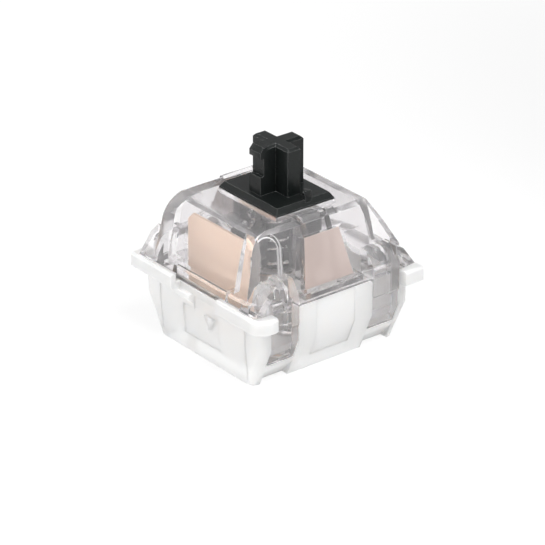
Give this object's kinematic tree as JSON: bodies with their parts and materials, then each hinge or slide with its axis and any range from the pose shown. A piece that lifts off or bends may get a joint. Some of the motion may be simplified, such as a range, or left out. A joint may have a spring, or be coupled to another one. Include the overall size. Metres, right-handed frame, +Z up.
{
  "type": "mechanical keyboard switch",
  "caption": "Keyboard key switch: clear cover clipped on a milky base, cross-topped stem on a coil spring, copper contact pair and solder tails.",
  "frame": {"origin": "on the circuit board's face, on the axis of the centre post", "axes": "+Z up along the stem's travel, +Y towards the side with the contacts, +X to the right seen from the side opposite the contacts"},
  "size_m": [0.0156, 0.0156, 0.0191],
  "materials": {
    "milky_nylon": "milky, slightly translucent moulded plastic",
    "clear_polycarbonate": "clear moulded plastic",
    "black_acetal": "satin moulded plastic",
    "spring_steel": "drawn wire",
    "copper_alloy": "rolled copper alloy sheet",
    "contact_gold": "polished gold alloy"
  },
  "bodies": {
    "housing": {"bottom_housing": "milky_nylon", "top_housing": "clear_polycarbonate", "return_spring": "spring_steel", "fixed_terminal": "copper_alloy", "fixed_crosspoint": "contact_gold", "moving_terminal": "copper_alloy"},
    "stem": {"stem": "black_acetal"},
    "leaf": {"contact_leaf": "copper_alloy", "moving_crosspoint": "contact_gold"}
  },
  "joints": [
    {"name": "stem_press", "type": "slide", "parent": "housing", "child": "stem", "axis": [0, 0, -1], "range_m": [0, 0.004], "stiffness_N_per_m": 100, "springref_m": -0.004, "deforming": ["return_spring"]},
    {"name": "leaf_flex", "type": "hinge", "parent": "housing", "child": "leaf", "pos_m": [0, 0.0043, 0.0025], "axis": [1, 0, 0], "range_deg": [0, 3.7]}
  ],
  "couplings": [
    {"joint": "leaf_flex", "follows": "stem_press", "rad_per_m": 16}
  ]
}
